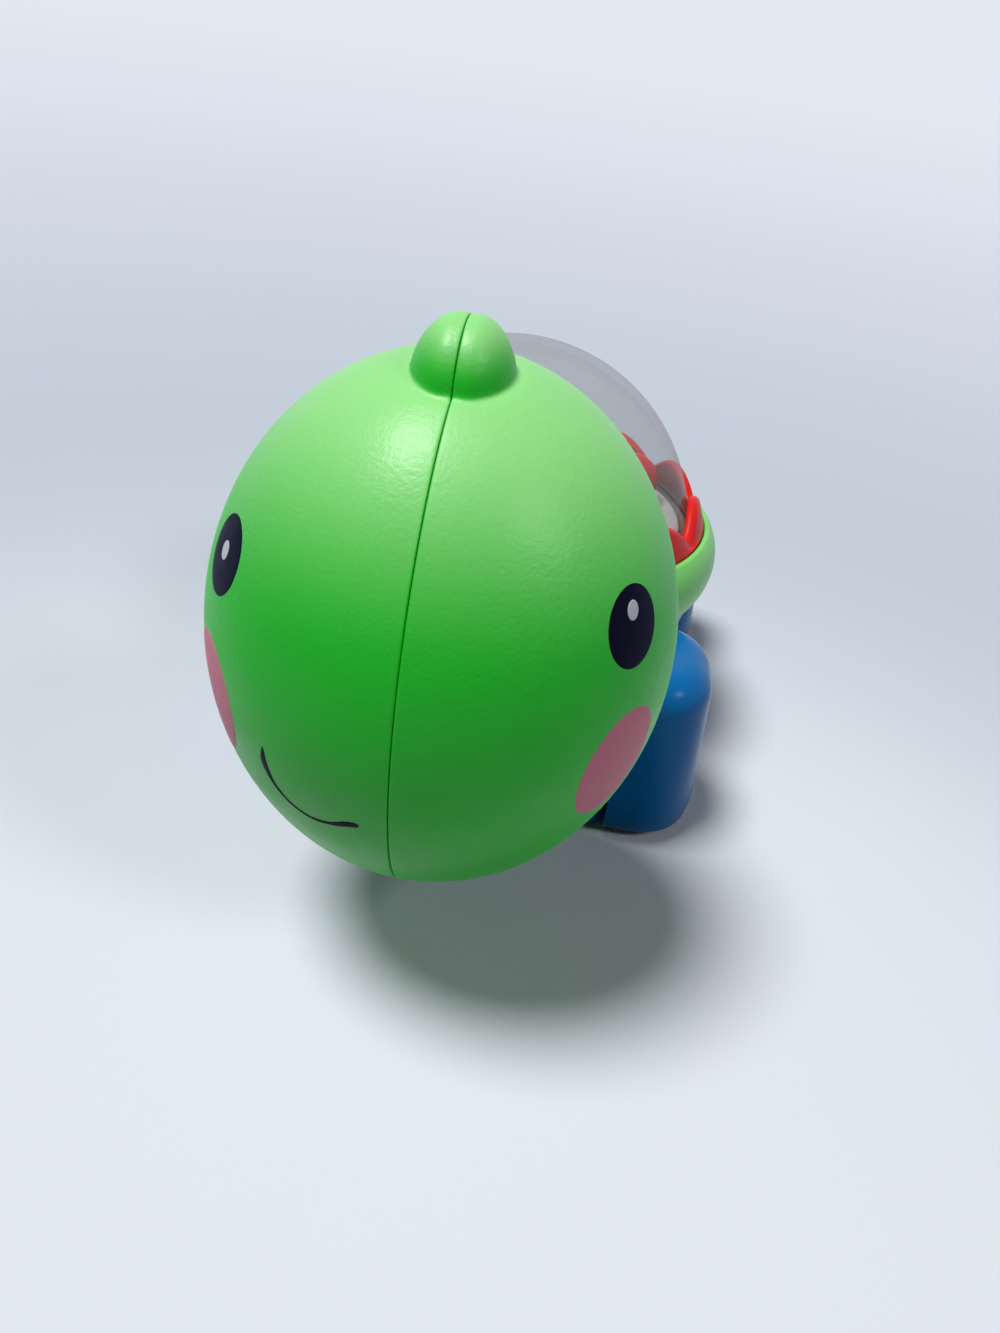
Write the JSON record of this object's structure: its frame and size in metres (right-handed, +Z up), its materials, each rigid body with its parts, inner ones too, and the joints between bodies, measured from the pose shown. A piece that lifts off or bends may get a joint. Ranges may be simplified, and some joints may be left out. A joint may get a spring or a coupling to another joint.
{
  "type": "push-along turtle toy",
  "caption": "Push-along turtle toy with a large egg-shaped head, a clear dome over hopping balls on a fat round rim, and wheels hidden inside its feet.",
  "frame": {"origin": "centre of the toy's outer box, on the floor that its wheels stand on", "axes": "+Z up, the turtle faces -Y, +X is the turtle's own left"},
  "size_m": [0.126, 0.2068, 0.1362],
  "materials": {
    "green_plastic": "satin moulded",
    "lime_plastic": "satin moulded",
    "red_plastic": "gloss moulded",
    "blue_plastic": "gloss moulded",
    "dark_blue_plastic": "matte moulded",
    "clear_plastic": "clear polished",
    "yellow_plastic": "gloss moulded",
    "orange_plastic": "gloss moulded",
    "white_plastic": "satin moulded",
    "black_rubber": "matte",
    "steel": "zinc plated"
  },
  "bodies": {
    "toy_body": {"head_left_half": "green_plastic", "head_right_half": "green_plastic", "neck_post": "green_plastic", "shell_rim": "lime_plastic", "clear_dome": "clear_plastic", "petal_crown": "red_plastic", "ball_tray": "white_plastic", "lower_body": "blue_plastic", "bottom_plate": "dark_blue_plastic", "front_left_foot": "blue_plastic", "front_right_foot": "blue_plastic", "rear_left_foot": "blue_plastic", "rear_right_foot": "blue_plastic", "plate_screw_1": "steel", "plate_screw_2": "steel", "plate_screw_3": "steel", "plate_screw_4": "steel", "popper_pin": "steel"},
    "front_wheels": {"front_axle": "steel", "front_left_wheel": "yellow_plastic", "front_right_wheel": "yellow_plastic"},
    "rear_wheels": {"rear_axle": "steel", "rear_left_wheel": "yellow_plastic", "rear_right_wheel": "yellow_plastic", "rear_left_band": "black_rubber", "rear_right_band": "black_rubber", "popper_cam": "white_plastic"},
    "popper": {"popper_arm": "white_plastic"},
    "loose_ball_0": {"ball_0": "white_plastic"},
    "loose_ball_1": {"ball_1": "red_plastic"},
    "loose_ball_2": {"ball_2": "yellow_plastic"},
    "loose_ball_3": {"ball_3": "blue_plastic"},
    "loose_ball_4": {"ball_4": "orange_plastic"},
    "loose_ball_5": {"ball_5": "green_plastic"},
    "loose_ball_6": {"ball_6": "red_plastic"},
    "loose_ball_7": {"ball_7": "yellow_plastic"},
    "loose_ball_8": {"ball_8": "blue_plastic"}
  },
  "joints": [
    {"name": "front_axle_spin", "type": "hinge", "parent": "toy_body", "child": "front_wheels", "pos_m": [0, -0.00594, 0.0135], "axis": [1, 0, 0], "continuous": true},
    {"name": "rear_axle_spin", "type": "hinge", "parent": "toy_body", "child": "rear_wheels", "pos_m": [0, 0.08514, 0.0135], "axis": [1, 0, 0], "continuous": true},
    {"name": "popper_swing", "type": "hinge", "parent": "toy_body", "child": "popper", "pos_m": [0, 0.09374, 0.0239], "axis": [-1, 0, 0], "range_deg": [0, 8]},
    {"name": "ball_0_hop", "type": "slide", "parent": "popper", "child": "loose_ball_0", "axis": [0, 0, 1], "range_m": [0, 0.022]},
    {"name": "ball_1_hop", "type": "slide", "parent": "toy_body", "child": "loose_ball_1", "axis": [0, 0, 1], "range_m": [0, 0.005]},
    {"name": "ball_2_hop", "type": "slide", "parent": "toy_body", "child": "loose_ball_2", "axis": [0, 0, 1], "range_m": [0, 0.012]},
    {"name": "ball_3_hop", "type": "slide", "parent": "toy_body", "child": "loose_ball_3", "axis": [0, 0, 1], "range_m": [0, 0.005]},
    {"name": "ball_4_hop", "type": "slide", "parent": "toy_body", "child": "loose_ball_4", "axis": [0, 0, 1], "range_m": [0, 0.012]},
    {"name": "ball_5_hop", "type": "slide", "parent": "toy_body", "child": "loose_ball_5", "axis": [0, 0, 1], "range_m": [0, 0.005]},
    {"name": "ball_6_hop", "type": "slide", "parent": "toy_body", "child": "loose_ball_6", "axis": [0, 0, 1], "range_m": [0, 0.012]},
    {"name": "ball_7_hop", "type": "slide", "parent": "toy_body", "child": "loose_ball_7", "axis": [0, 0, 1], "range_m": [0, 0.005]},
    {"name": "ball_8_hop", "type": "slide", "parent": "toy_body", "child": "loose_ball_8", "axis": [0, 0, 1], "range_m": [0, 0.012]}
  ]
}
